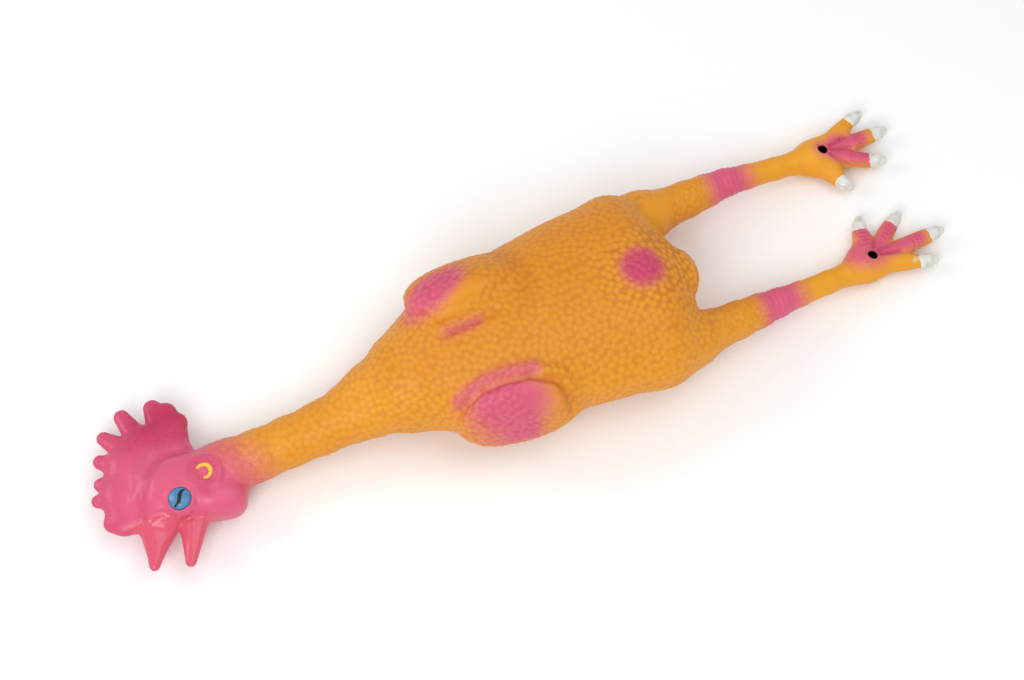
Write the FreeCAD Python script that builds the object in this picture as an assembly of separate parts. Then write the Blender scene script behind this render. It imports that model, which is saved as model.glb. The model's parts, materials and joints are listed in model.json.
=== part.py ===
import FreeCAD, Part
import math
import os

# A full-size rubber chicken: one hollow soft-vinyl moulding, lying on its belly with its legs
# stretched out behind and its head fallen on one side. Millimetres.
#
# Frame: the origin is the middle of the flat patch that the belly rests on. +X runs along the body
# from the neck to the feet, +Z is up from the table, and the chicken's left side is towards -Y.
#
# The moulding is cut into zones where it bends. At each bend the outer zone ends in a hollow ball
# that sits, with running clearance, inside the open end of the zone before it.

WALL = 2.0                # vinyl thickness of the trunk, neck and head
LEG_WALL = 1.8            # vinyl thickness of the legs and feet
CLEARANCE = 0.5           # gap left between a ball and the zone around it

TABLE = 0.0               # height of the table
TRUNK_HEIGHT = 37.0       # height of the trunk's axis above the table
TRUNK_ROLL = 21.0         # degrees that the back is rolled towards the left side

# Trunk sections from the neck to the tail: x, half width, half height, height of centre.
TRUNK_SECTIONS = [
    (-140.0, 26.0, 26.0, 31.0),
    (-124.0, 34.0, 32.0, 34.0),
    (-106.0, 44.0, 37.5, 36.5),
    (-80.0, 51.0, 39.0, TRUNK_HEIGHT),
    (-45.0, 56.0, 39.0, TRUNK_HEIGHT),
    (0.0, 62.0, 39.0, TRUNK_HEIGHT),
    (26.0, 62.0, 38.5, TRUNK_HEIGHT),
    (42.0, 57.0, 33.0, 36.0),
    (52.0, 44.0, 24.0, 36.0),
    (57.0, 28.0, 13.0, 37.0),
]

# Wings and rump, as ellipsoids that stand out of the trunk.
WING_X = -80.0
WING_HALF_SIZES = (35.0, 28.0, 12.0)
WING_LEAN = 62.0          # degrees round the trunk from the middle of the back to each wing
WING_REACH_SIDEWAYS = 46.0
WING_REACH_UP = 32.0
RUMP_CENTRE = FreeCAD.Vector(43, -5, 50)
RUMP_HALF_SIZES = (19.5, 21.0, 14.0)

# Bends of the neck: centre, ball radius, and the largest angle that the bend turns.
NECK_BASE = (FreeCAD.Vector(-143, -2, 30), 20.0, 22.0)
NECK_MIDDLE = (FreeCAD.Vector(-186, -5, 24), 12.5, 32.0)
NECK_TOP = (FreeCAD.Vector(-226, -5, 20), 12.0, 27.0)

# Head, lying on its right cheek.
HEAD_CENTRE = FreeCAD.Vector(-277, -7, 19)
HEAD_HALF_SIZES = (33.0, 27.0, 19.0)
SKULL_STATIONS = (-0.97, -0.88, -0.7, -0.4, 0.0, 0.4, 0.7, 0.88, 0.97)  # shares of the half length
NAPE_RADIUS = 15.0
COMB_THICKNESS = 7.0
COMB_NOTCHES = [(-262, 24), (-280, 38), (-296, 40), (-307, 33), (-315, 20), (-320, 9), (-322, -5), (-307, -24)]
COMB_TIPS = [(-264, 48), (-291, 54), (-309, 43), (-318, 28), (-322, 15), (-327, 5), (-322, -18)]
UPPER_BEAK = ((-295, -22), (-309, -49), 10.5, 2.2)   # root, tip, radius at the root, radius at the tip
LOWER_BEAK = ((-275, -26), (-287, -57), 7.5, 1.8)
CHEEK_LOBE_OFFSET = (23.0, -16.0)
CHEEK_LOBE_HALF_SIZES = (14.0, 12.5, 6.4)
EYE_OFFSET = (-3.0, -13.0)
EYE_HALF_SIZES = (7.5, 7.5, 3.4)
EYE_HEIGHT = 15.2         # height of an eye's centre above the head's middle plane

# Legs: side name, hip, hock, ankle, sole centre, and the toes as claw root and claw tip.
LEGS = {
    "left": {
        "hip": FreeCAD.Vector(52, -41, 30),
        "hock": FreeCAD.Vector(104, -36, 22),
        "ankle": FreeCAD.Vector(156, -31, 12),
        "sole": FreeCAD.Vector(174, -27, 9),
        "toes": {
            "hind": ((175, -7), (181, 1)),
            "inner": ((195, -9), (205, -3)),
            "middle": ((211, -25), (225, -22)),
            "outer": ((201, -40), (211, -41)),
        },
    },
    "right": {
        "hip": FreeCAD.Vector(58, 47, 30),
        "hock": FreeCAD.Vector(109, 53, 22),
        "ankle": FreeCAD.Vector(160, 53, 12),
        "sole": FreeCAD.Vector(178, 53, 9),
        "toes": {
            "hind": ((179, 32), (186, 28)),
            "inner": ((203, 37), (213, 35)),
            "middle": ((212, 54), (222, 54)),
            "outer": ((202, 69), (214, 71)),
        },
    },
}
HIP_BALL, HIP_TURN = 12.5, 18.0
HOCK_BALL, HOCK_TURN = 6.2, 38.0
ANKLE_BALL, ANKLE_TURN = 4.8, 32.0
FOOT_HALF_SIZES = (16.0, 13.5, 8.5)
AIR_HOLE_RADIUS = 3.0
TOE_RADIUS = 4.6
TOE_HEIGHT = 7.5
CLAW_TIP_RADIUS = 2.4
HEEL_STATIONS = [(0.35, 6.2), (0.7, 6.6)]   # share of the way from ankle to sole, radius

BALL_MOUTH = 35.0         # degrees between a ball's axis and the edge of its open mouth
FAR = 60.0                # long enough for a cutter to pass right through a zone


def save(shape, node):
    """Write one zone of the moulding to its own file."""
    if not shape.isValid():
        print("not valid:", node)
    shape.exportStep("parts/" + node + ".step")
    box = shape.BoundBox
    print("%-18s solids %d  volume %7.0f  z %6.1f to %5.1f"
          % (node, len(shape.Solids), shape.Volume, box.ZMin, box.ZMax))


def turn_to(shape, start, direction):
    """Put a shape made along +Z at start, with its +Z along direction."""
    placed = shape.copy()
    turn = FreeCAD.Rotation(FreeCAD.Vector(0, 0, 1), direction)
    placed.Placement = FreeCAD.Placement(start, turn)
    return placed


def ellipsoid(centre, half_sizes, roll=0.0):
    """A closed ellipsoid, turned by roll degrees about the X direction."""
    stretch = FreeCAD.Matrix()
    stretch.scale(*half_sizes)
    shape = Part.makeSphere(1.0).transformGeometry(stretch)
    shape.Placement = FreeCAD.Placement(centre, FreeCAD.Rotation(FreeCAD.Vector(1, 0, 0), roll))
    return shape


def section_wire(x, half_width, half_height, height):
    """One smooth oval section of the trunk, square to the X direction."""
    points = []
    for step in range(16):
        angle = 2.0 * math.pi * step / 16
        y = half_width * math.cos(angle)
        z = height + half_height * math.sin(angle)
        points.append(FreeCAD.Vector(x, y, z))
    curve = Part.BSplineCurve()
    curve.interpolate(Points=points, PeriodicFlag=True)
    return Part.Wire([curve.toShape()])


def trunk_solid(inset, floor):
    """The trunk's smooth outer form, moved in by inset and cut level at the floor height."""
    tail_x = TRUNK_SECTIONS[-1][0]
    wires = []
    for x, half_width, half_height, height in TRUNK_SECTIONS:
        station = min(x, tail_x - inset)
        wires.append(section_wire(station, half_width - inset, half_height - inset, height))
    loft = Part.makeLoft(wires, True, False)
    below = Part.makeBox(300, 200, 100, FreeCAD.Vector(-200, -100, floor - 100))
    return loft.cut(below)


def rim_setback(ball_radius, turn):
    """How far before the ball's centre the zone around it has to end."""
    return ball_radius * math.sin(math.radians(turn)) + 0.6


def ball_tube(start, end, ball_radius, stations, wall, set_back=0.0):
    """A hollow tube from start towards end, with an open ball at start.

    stations lists (share of the length, radius). The tube ends set_back short of end.
    """
    length = (end - start).Length - set_back
    mouth = math.radians(BALL_MOUTH)
    inner = ball_radius - wall
    outer_mouth = FreeCAD.Vector(ball_radius * math.sin(mouth), 0, -ball_radius * math.cos(mouth))
    halfway = math.radians((90.0 - BALL_MOUTH) / 2)
    outer_mid = FreeCAD.Vector(ball_radius * math.cos(halfway), 0, -ball_radius * math.sin(halfway))
    outer_top = FreeCAD.Vector(ball_radius, 0, 0)
    outline = [Part.Arc(outer_mouth, outer_mid, outer_top).toShape()]
    corner = outer_top
    for share, radius in stations:
        point = FreeCAD.Vector(radius, 0, share * length)
        outline.append(Part.makeLine(corner, point))
        corner = point
    back = FreeCAD.Vector(stations[-1][1] - wall, 0, length)
    outline.append(Part.makeLine(corner, back))
    corner = back
    for share, radius in reversed(stations[:-1]):
        point = FreeCAD.Vector(radius - wall, 0, share * length)
        outline.append(Part.makeLine(corner, point))
        corner = point
    inner_top = FreeCAD.Vector(inner, 0, 0)
    outline.append(Part.makeLine(corner, inner_top))
    shrink = inner / ball_radius
    outline.append(Part.Arc(inner_top, outer_mid * shrink, outer_mouth * shrink).toShape())
    outline.append(Part.makeLine(outer_mouth * shrink, outer_mouth))
    face = Part.Face(Part.Wire(outline))
    tube = face.revolve(FreeCAD.Vector(0, 0, 0), FreeCAD.Vector(0, 0, 1), 360)
    return turn_to(tube, start, end - start)


def blunt_cone(start, end, start_radius, end_radius):
    """A solid cone with a rounded end."""
    direction = end - start
    length = direction.Length - end_radius
    top = FreeCAD.Vector(0, 0, length)
    cone = Part.makeCone(start_radius, end_radius, length)
    tip = Part.makeSphere(end_radius, top)
    return turn_to(cone.fuse(tip).removeSplitter(), start, direction)


def swing_space(ball_centre, ball_radius, turn, direction):
    """The room that a zone needs where it swings out of the open end around its ball."""
    set_back = rim_setback(ball_radius, turn)
    near = (ball_radius + CLEARANCE) / math.cos(math.radians(turn)) + 0.4
    far = near + (FAR + set_back) * math.tan(math.radians(turn))
    cone = Part.makeCone(near, far, FAR + set_back, FreeCAD.Vector(0, 0, -set_back))
    ball = Part.makeSphere(ball_radius + CLEARANCE)
    return turn_to(cone.fuse(ball), ball_centre, direction)


def trunk():
    """The body shell with its open neck and hips, and the wings and rump on it."""
    form = trunk_solid(0.0, TABLE)
    shell = form.cut(trunk_solid(WALL, TABLE + WALL))
    neck_centre, neck_ball, neck_turn = NECK_BASE
    neck_rim = neck_centre.x + rim_setback(neck_ball, neck_turn)
    before_rim = Part.makeBox(FAR, 2 * FAR, 2 * FAR, FreeCAD.Vector(neck_rim - FAR, -FAR, -FAR / 2))
    shell = shell.cut(before_rim)
    hips = []
    for leg in LEGS.values():
        hips.append(swing_space(leg["hip"], HIP_BALL, HIP_TURN, leg["hock"] - leg["hip"]))
    for hip in hips:
        shell = shell.cut(hip)

    on_trunk = {}
    for side, sign in (("left", -1.0), ("right", 1.0)):
        lean = math.radians(sign * WING_LEAN - TRUNK_ROLL)
        centre = FreeCAD.Vector(WING_X, WING_REACH_SIDEWAYS * math.sin(lean),
                                TRUNK_HEIGHT + WING_REACH_UP * math.cos(lean))
        wing = ellipsoid(centre, WING_HALF_SIZES, -math.degrees(lean))
        on_trunk["wing_" + side] = wing.cut(form)
    rump = ellipsoid(RUMP_CENTRE, RUMP_HALF_SIZES).cut(form)
    for hip in hips:
        rump = rump.cut(hip)
    on_trunk["rump"] = rump
    on_trunk["body_shell"] = shell
    return on_trunk


def neck():
    """The two tubes of the neck."""
    base, base_ball, _ = NECK_BASE
    middle, middle_ball, middle_turn = NECK_MIDDLE
    top, top_ball, top_turn = NECK_TOP
    lower = ball_tube(base, middle, base_ball, [(0.12, 21.0), (0.55, 17.5), (1.0, 15.2)], WALL,
                      rim_setback(middle_ball, middle_turn))
    upper = ball_tube(middle, top, middle_ball, [(0.15, 14.6), (1.0, 14.8)], WALL,
                      rim_setback(top_ball, top_turn))
    return {"neck_lower": lower, "neck_upper": upper}


def comb_outline():
    """The comb's edge: a lobe or spike between each pair of notches, tips away from the skull."""
    points = []
    for notch, tip in zip(COMB_NOTCHES, COMB_TIPS):
        points.append(notch)
        points.append(tip)
    points.append(COMB_NOTCHES[-1])
    points.append((HEAD_CENTRE.x, HEAD_CENTRE.y))
    return points


def skull_solid(inset):
    """The skull as a loft through oval sections along its length, moved in by inset all round."""
    half_length, half_width, half_height = (size - inset for size in HEAD_HALF_SIZES)
    wires = []
    for share in SKULL_STATIONS:
        fullness = math.sqrt(1.0 - share * share)
        station = HEAD_CENTRE.x + share * half_length
        wire = section_wire(station, half_width * fullness, half_height * fullness, HEAD_CENTRE.z)
        wire.translate(FreeCAD.Vector(0, HEAD_CENTRE.y, 0))
        wires.append(wire)
    return Part.makeLoft(wires, True, False)


def head():
    """The skull shell and nape, and the comb, beak, cheek lobes and eyes on them."""
    top, top_ball, _ = NECK_TOP
    form = skull_solid(0.0)
    hollow = skull_solid(WALL)
    throat = turn_to(Part.makeCylinder(NAPE_RADIUS - WALL, FAR), HEAD_CENTRE, top - HEAD_CENTRE)
    shell = form.cut(hollow).cut(throat)
    nape = ball_tube(top, HEAD_CENTRE, top_ball, [(0.2, 14.0), (0.6, NAPE_RADIUS)], WALL)
    nape = nape.cut(form)
    covered = form.fuse(turn_to(Part.makeCylinder(NAPE_RADIUS, FAR), HEAD_CENTRE, top - HEAD_CENTRE))

    corners = [FreeCAD.Vector(x, y, HEAD_CENTRE.z - COMB_THICKNESS / 2) for x, y in comb_outline()]
    comb = Part.Face(Part.makePolygon(corners + [corners[0]])).extrude(FreeCAD.Vector(0, 0, COMB_THICKNESS))
    comb = comb.cut(covered)

    beaks = []
    for root, tip, root_radius, tip_radius in (UPPER_BEAK, LOWER_BEAK):
        start = FreeCAD.Vector(root[0], root[1], HEAD_CENTRE.z)
        end = FreeCAD.Vector(tip[0], tip[1], HEAD_CENTRE.z)
        beaks.append(blunt_cone(start, end, root_radius, tip_radius))
    upper_beak, lower_beak = beaks
    pieces = {"comb": comb}
    pieces["upper_beak"] = upper_beak.cut(covered).cut(comb)
    pieces["lower_beak"] = lower_beak.cut(covered).cut(upper_beak)
    for side, sign in (("left", 1.0), ("right", -1.0)):
        lobe_centre = HEAD_CENTRE + FreeCAD.Vector(*CHEEK_LOBE_OFFSET, sign * CHEEK_LOBE_HALF_SIZES[2])
        lobe = ellipsoid(lobe_centre, CHEEK_LOBE_HALF_SIZES).cut(covered)
        pieces["cheek_lobe_" + side] = lobe.cut(lower_beak)
        eye_centre = HEAD_CENTRE + FreeCAD.Vector(*EYE_OFFSET, sign * EYE_HEIGHT)
        eye = ellipsoid(eye_centre, EYE_HALF_SIZES)
        pieces["eye_" + side] = eye.cut(form)
    pieces["nape"] = nape
    pieces["head_shell"] = shell
    return pieces


def foot(side, leg):
    """The foot shell with its ankle, and its four toes and claws."""
    ankle, sole = leg["ankle"], leg["sole"]
    inner_sizes = [size - LEG_WALL for size in FOOT_HALF_SIZES]
    form = ellipsoid(sole, FOOT_HALF_SIZES)
    hollow = ellipsoid(sole, inner_sizes)
    heel = ball_tube(ankle, sole, ANKLE_BALL, HEEL_STATIONS, LEG_WALL)
    shell = form.cut(hollow).fuse(heel.cut(hollow))
    (_, heel_start), (_, heel_end) = HEEL_STATIONS
    passage_length = (sole - ankle).Length * 2 / 3
    passage = Part.makeCone(heel_start - LEG_WALL, heel_end - LEG_WALL, passage_length)
    passage = turn_to(passage, ankle, sole - ankle)
    shell = shell.cut(passage.common(ellipsoid(sole, [size + 1 for size in FOOT_HALF_SIZES])))
    hole = Part.makeCylinder(AIR_HOLE_RADIUS, FAR, sole)
    pieces = {"foot_" + side: shell.cut(hole)}
    taken = form
    for name, (root, tip) in leg["toes"].items():
        claw_root = FreeCAD.Vector(root[0], root[1], TOE_HEIGHT)
        claw_tip = FreeCAD.Vector(tip[0], tip[1], TOE_HEIGHT - 1)
        heart = FreeCAD.Vector(sole.x, sole.y, TOE_HEIGHT)
        toe_length = (claw_root - heart).Length
        toe = Part.makeCone(TOE_RADIUS + 0.6, TOE_RADIUS, toe_length)
        toe = turn_to(toe, heart, claw_root - heart).cut(taken)
        taken = taken.fuse(toe)
        pieces["toe_" + side + "_" + name] = toe
        claw = blunt_cone(claw_root, claw_tip, TOE_RADIUS - 0.2, CLAW_TIP_RADIUS)
        pieces["claw_" + side + "_" + name] = claw.cut(toe)
    return pieces


def leg_zones(side, leg):
    """The thigh and shank of one leg, with its foot."""
    hip, hock, ankle = leg["hip"], leg["hock"], leg["ankle"]
    thigh = ball_tube(hip, hock, HIP_BALL, [(0.12, 13.0), (0.55, 12.0), (1.0, 8.8)], LEG_WALL,
                      rim_setback(HOCK_BALL, HOCK_TURN))
    shank = ball_tube(hock, ankle, HOCK_BALL, [(0.1, 7.4), (0.5, 6.9), (1.0, 7.3)], LEG_WALL,
                      rim_setback(ANKLE_BALL, ANKLE_TURN))
    zones = {"thigh_" + side: thigh, "shank_" + side: shank}
    zones.update(foot(side, leg))
    return zones


os.makedirs("parts", exist_ok=True)
for node, shape in {**trunk(), **neck(), **head()}.items():
    save(shape, node)
for side, leg in LEGS.items():
    for node, shape in leg_zones(side, leg).items():
        save(shape, node)
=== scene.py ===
# %% [markdown]
# # A rubber chicken
# The real object is one hollow moulding of soft vinyl, sprayed and painted by hand. Its neck, hips,
# hocks and ankles bend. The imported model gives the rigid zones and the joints; this file grows one
# smooth skin over those zones, cuts it where a zone ends, and lets each piece bend across one joint.

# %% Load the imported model
import json
import math

import bmesh
import bpy
import numpy as np
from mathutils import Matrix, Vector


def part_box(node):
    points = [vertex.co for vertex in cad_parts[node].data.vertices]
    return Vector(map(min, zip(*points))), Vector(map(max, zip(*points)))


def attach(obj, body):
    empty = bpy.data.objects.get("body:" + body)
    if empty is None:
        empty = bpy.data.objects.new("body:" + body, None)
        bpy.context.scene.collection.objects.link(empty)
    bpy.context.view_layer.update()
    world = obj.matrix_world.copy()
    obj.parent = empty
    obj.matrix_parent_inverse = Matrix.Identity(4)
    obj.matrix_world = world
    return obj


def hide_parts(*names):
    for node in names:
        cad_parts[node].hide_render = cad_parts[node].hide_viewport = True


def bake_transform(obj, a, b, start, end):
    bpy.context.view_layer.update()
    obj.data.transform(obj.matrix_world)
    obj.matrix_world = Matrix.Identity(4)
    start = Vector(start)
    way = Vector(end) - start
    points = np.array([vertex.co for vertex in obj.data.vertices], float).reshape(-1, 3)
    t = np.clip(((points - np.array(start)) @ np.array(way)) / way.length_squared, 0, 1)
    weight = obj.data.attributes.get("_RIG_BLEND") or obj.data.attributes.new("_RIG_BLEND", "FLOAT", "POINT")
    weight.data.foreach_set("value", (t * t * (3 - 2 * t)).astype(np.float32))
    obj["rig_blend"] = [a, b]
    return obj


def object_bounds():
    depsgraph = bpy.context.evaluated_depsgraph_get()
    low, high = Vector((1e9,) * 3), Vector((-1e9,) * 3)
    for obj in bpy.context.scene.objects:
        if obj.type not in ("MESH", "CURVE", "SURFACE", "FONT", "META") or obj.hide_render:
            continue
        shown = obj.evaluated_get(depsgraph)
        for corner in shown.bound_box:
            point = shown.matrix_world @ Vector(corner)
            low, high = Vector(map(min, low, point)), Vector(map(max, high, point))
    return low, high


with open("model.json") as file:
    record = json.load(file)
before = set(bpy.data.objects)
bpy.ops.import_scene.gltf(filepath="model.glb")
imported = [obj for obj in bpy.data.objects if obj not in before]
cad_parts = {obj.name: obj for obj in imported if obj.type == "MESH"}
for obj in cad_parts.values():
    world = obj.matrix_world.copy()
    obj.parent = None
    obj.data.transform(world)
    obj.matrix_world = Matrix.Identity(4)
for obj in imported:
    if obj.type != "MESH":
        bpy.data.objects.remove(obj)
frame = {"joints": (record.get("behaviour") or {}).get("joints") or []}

import openvdb
from mathutils import Vector
from mathutils.bvhtree import BVHTree

cad_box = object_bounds()
MM = 0.001
print("model is", [round(high - low, 3) for low, high in zip(*cad_box)], "m")

# %% [markdown]
# ## Where things are
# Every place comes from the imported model: the joints give the line of the neck and legs, and the
# zones' boxes give the trunk, the skull and the feet. Millimetres are easier to read at this size,
# so the shapes are worked out in millimetres and turned to metres when a mesh is made.

# %% Joints and zones in millimetres
JOINTS = {joint["name"]: np.array(joint["pos_m"]) / MM for joint in frame["joints"]}


def zone(node):
    """Lowest corner, highest corner and middle of a packed zone, in millimetres."""
    low, high = (np.array(corner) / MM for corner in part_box(node))
    return low, high, (low + high) / 2


SKULL_HALF_LENGTH = 32
skull_low, skull_high, skull_middle = zone("head_shell")
SKULL = np.array([skull_low[0] + SKULL_HALF_LENGTH, skull_middle[1], skull_middle[2]])
neck_base, neck_middle, neck_top = (JOINTS[name] for name in ("neck_base_turn", "neck_lift", "head_turn"))
SIDES = {"left": -1, "right": 1}
SOLE_FROM_FOOT_END, SOLE_HEIGHT = 16, 8.5
LEGS = {}
for side in SIDES:
    leg = {"hip": JOINTS["hip_%s_spread" % side], "hock": JOINTS["hock_%s_lift" % side]}
    leg["ankle"] = JOINTS["ankle_%s_lift" % side]
    foot_low, foot_high, _ = zone("foot_" + side)
    leg["sole"] = np.array([foot_high[0] - SOLE_FROM_FOOT_END, (foot_low[1] + foot_high[1]) / 2, SOLE_HEIGHT])
    LEGS[side] = leg
print("skull at", SKULL.round(), "soles at", [leg["sole"].round() for leg in LEGS.values()])

# %% [markdown]
# ## The camera and the studio
# The toy lies on a white sweep under big soft lights, seen from well above with its head towards the
# lower left. The camera is set first, so that every later step can be judged through it.

# %% Camera, floor and lights
AZIMUTH, ELEVATION = math.radians(-23), math.radians(65)
DISTANCE, FIELD_OF_VIEW = 1.6146, math.radians(22)
middle = (Vector(cad_box[0]) + Vector(cad_box[1])) / 2
aim = Vector((middle.x - 0.0055, middle.y + 0.0003, 0.020))
backward = Vector((math.sin(AZIMUTH) * math.cos(ELEVATION), -math.cos(AZIMUTH) * math.cos(ELEVATION),
                   math.sin(ELEVATION)))
camera = bpy.data.objects.new("camera", bpy.data.cameras.new("camera"))
camera.data.angle = FIELD_OF_VIEW
camera.location = aim + backward * DISTANCE
camera.rotation_euler = backward.to_track_quat("Z", "Y").to_euler()
scene = bpy.context.scene
scene.collection.objects.link(camera)
scene.camera = camera
scene.view_settings.view_transform = "Standard"


def studio_light(name, place, size, watts, colour=(1.0, 1.0, 1.0)):
    """A square soft box that faces the toy."""
    lamp = bpy.data.lights.new(name, "AREA")
    lamp.size = size
    lamp.energy = watts
    lamp.color = colour
    light = bpy.data.objects.new(name, lamp)
    light.location = place
    light.rotation_euler = (Vector(place) - aim).to_track_quat("Z", "Y").to_euler()
    scene.collection.objects.link(light)
    return light


studio_light("key_soft_box", (-0.75, -0.85, 1.2), 0.8, 9.5)
studio_light("side_soft_box", (-1.1, 0.7, 0.9), 0.5, 3.5)
studio_light("top_soft_box", (0.4, -0.2, 1.6), 1.0, 5.0)
world = bpy.data.worlds.new("white_room")
world.use_nodes = True
world.node_tree.nodes["Background"].inputs["Color"].default_value = (1.0, 1.0, 1.0, 1.0)
world.node_tree.nodes["Background"].inputs["Strength"].default_value = 0.66
scene.world = world

floor_mesh = bpy.data.meshes.new("floor")
REACH = 6.0
floor_mesh.from_pydata([(-REACH, -REACH, 0), (REACH, -REACH, 0), (REACH, REACH, 0), (-REACH, REACH, 0)], [],
                       [(0, 1, 2, 3)])
floor = bpy.data.objects.new("floor", floor_mesh)
floor.location.z = -0.0002
scene.collection.objects.link(floor)
paper = bpy.data.materials.new("white_paper")
paper.use_nodes = True
paper.node_tree.nodes["Principled BSDF"].inputs["Base Color"].default_value = (0.93, 0.93, 0.93, 1)
paper.node_tree.nodes["Principled BSDF"].inputs["Roughness"].default_value = 0.9
floor_mesh.materials.append(paper)
print("camera looks at", [round(value, 3) for value in aim])

# %% [markdown]
# ## Soft shapes from distances
# A moulding like this has no edges: wings, thighs and toes all melt into the body. Box modelling
# would need a fillet at each join. Here every shape is a formula for the distance to its surface,
# and two shapes are joined with a smooth minimum, which leaves a fillet of a chosen size. The
# distances are sampled on a fine grid, and OpenVDB, which Blender carries, turns them into a mesh.

# %% The two basic shapes: a tapered bar and an ellipsoid
def bar(start, end, start_radius, end_radius, squash=1.0):
    """A round bar that tapers from start to end. squash above 1 makes it flatter than it is wide."""
    start, end = np.array(start, float), np.array(end, float)
    along = end - start
    length_squared = max(along @ along, 1e-6)
    widest = max(start_radius, end_radius)

    def distance(x, y, z):
        dx, dy, dz = x - start[0], y - start[1], z - start[2]
        share = np.clip((dx * along[0] + dy * along[1] + dz * along[2]) / length_squared, 0, 1)
        dx, dy, dz = dx - share * along[0], dy - share * along[1], (dz - share * along[2]) * squash
        return np.sqrt(dx * dx + dy * dy + dz * dz) - start_radius - (end_radius - start_radius) * share

    return np.minimum(start, end) - widest, np.maximum(start, end) + widest, distance


def egg(centre, half_sizes, lean=0.0, fullness=2.0, tilt=0.0):
    """An ellipsoid, leaned about the X direction. fullness above 2 makes it boxier, like a pillow.

    tilt sinks its end at low X, the front of the bird.
    """
    centre, half = np.array(centre, float), np.array(half_sizes, float)
    cosine, sine = math.cos(lean), math.sin(lean)
    reach = np.array([half[0], max(half[1:]), max(half[1:])])

    def distance(x, y, z):
        dx, dy, dz = x - centre[0], y - centre[1], z - centre[2]
        across, up = dy * cosine + dz * sine, dz * cosine - dy * sine
        dx, up = dx * math.cos(tilt) + up * math.sin(tilt), up * math.cos(tilt) - dx * math.sin(tilt)
        ratio = (np.abs(dx / half[0]) ** fullness + np.abs(across / half[1]) ** fullness
                 + np.abs(up / half[2]) ** fullness) ** (1 / fullness)
        slope = np.sqrt((dx / half[0] ** 2) ** 2 + (across / half[1] ** 2) ** 2 + (up / half[2] ** 2) ** 2)
        return ratio * (ratio - 1) / np.maximum(slope, 1e-4)

    return centre - reach, centre + reach, distance


# %% Growing a mesh from a list of shapes
def grow(steps, cell):
    """Join, carve or keep shapes in order, and return the mesh's points and faces.

    Each step is (how, shape, softness), and softness is the size of the fillet in millimetres.
    """
    joined = [shape for how, shape, _ in steps if how == "join"]
    low = np.min([shape[0] for shape in joined], axis=0) - 4 * cell
    high = np.max([shape[1] for shape in joined], axis=0) + 4 * cell
    counts = np.ceil((high - low) / cell).astype(int)
    field = np.full(counts, 50.0, np.float32)
    values = [(low[i] + cell * np.arange(counts[i])).astype(np.float32) for i in range(3)]
    for how, (shape_low, shape_high, distance), softness in steps:
        margin = softness + 3 * cell
        first = np.clip(((shape_low - margin - low) / cell).astype(int), 0, counts)
        last = np.clip(((shape_high + margin - low) / cell).astype(int) + 2, 0, counts)
        part = tuple(slice(a, b) for a, b in zip(first, last))
        x, y, z = (values[i][part[i]].reshape([-1 if i == k else 1 for k in range(3)]) for i in range(3))
        old, new = field[part], distance(x, y, z).astype(np.float32)
        if how != "join":
            old, new = -old, (-new if how == "keep" else new)
        share = np.clip(0.5 + 0.5 * (old - new) / softness, 0, 1)
        mixed = old + (new - old) * share - softness * share * (1 - share)
        field[part] = mixed if how == "join" else -mixed
    grid = openvdb.FloatGrid(background=3.0)
    grid.copyFromArray(np.clip(field / cell, -3, 3))
    points, faces = grid.convertToQuads(isovalue=0.0)
    return points * cell + low, faces


def mesh_object(name, points, faces):
    """A smooth-shaded object from points in millimetres, with its faces turned outwards."""
    mesh = bpy.data.meshes.new(name)
    mesh.from_pydata(points * MM, [], faces)
    mesh.update()
    made = bmesh.new()
    made.from_mesh(mesh)
    if made.calc_volume(signed=True) < 0:
        bmesh.ops.reverse_faces(made, faces=made.faces)
        made.to_mesh(mesh)
    made.free()
    mesh.polygons.foreach_set("use_smooth", [True] * len(mesh.polygons))
    thing = bpy.data.objects.new(name, mesh)
    scene.collection.objects.link(thing)
    return thing


# %% [markdown]
# ## Trunk, wings and neck
# The trunk is a long oval tube whose width and height change along it, so it is given by a few
# stations, smoothed so that no station shows. It is pressed flat where it lies on the table. The
# folded wings are pillows on its flanks, rolled with the back towards the left side.

# %% The trunk
TRUNK_STATIONS = [  # share of the trunk's length, then shares of its half width and half height
    (-0.12, 0.36, 0.58), (0.0, 0.46, 0.72), (0.08, 0.58, 0.86), (0.16, 0.70, 0.96), (0.30, 0.81, 1.0),
    (0.46, 0.89, 1.0), (0.64, 0.98, 1.0), (0.80, 1.0, 1.0), (0.92, 1.0, 0.97), (1.1, 1.0, 0.94)]
trunk_low, trunk_high, _ = zone("body_shell")
TRUNK_LENGTH = trunk_high[0] - trunk_low[0]
HALF_WIDTH = (trunk_high[1] - trunk_low[1]) / 2
AXIS_HEIGHT = 0.487 * trunk_high[2]
HALF_HEIGHT = trunk_high[2] - AXIS_HEIGHT
TAIL_END = trunk_high[0] - 3.5


def trunk_size(x, column):
    """Half width (column 1) or half height (column 2) of the trunk at x, smoothed along its length."""
    fine = np.linspace(trunk_low[0] - 40, trunk_high[0] + 30, 500)
    shares = [station[0] for station in TRUNK_STATIONS]
    sizes = [station[column] for station in TRUNK_STATIONS]
    rough = np.interp((fine - trunk_low[0]) / TRUNK_LENGTH, shares, sizes)
    reach = 8.0 / (fine[1] - fine[0])
    kernel = np.exp(-0.5 * (np.arange(-60, 61) / reach) ** 2)
    smooth = np.convolve(np.pad(rough, 60, mode="edge"), kernel / kernel.sum(), mode="valid")
    tail = np.clip((x - (TAIL_END - 32)) / 32, 0, 1)
    breast = np.clip((trunk_low[0] - x) / 18, 0, 1)
    closed = np.sqrt(np.maximum(1 - tail ** 2.2, 1e-3)) * np.sqrt(np.maximum(1 - breast ** 2, 1e-3))
    return np.interp(x, fine, smooth) * closed


def trunk_axis(x):
    """Height of the trunk's axis: it comes down towards the neck."""
    return AXIS_HEIGHT - 6.5 * np.clip((trunk_low[0] + 32 - x) / 32, 0, 1.3) ** 1.5


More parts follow.
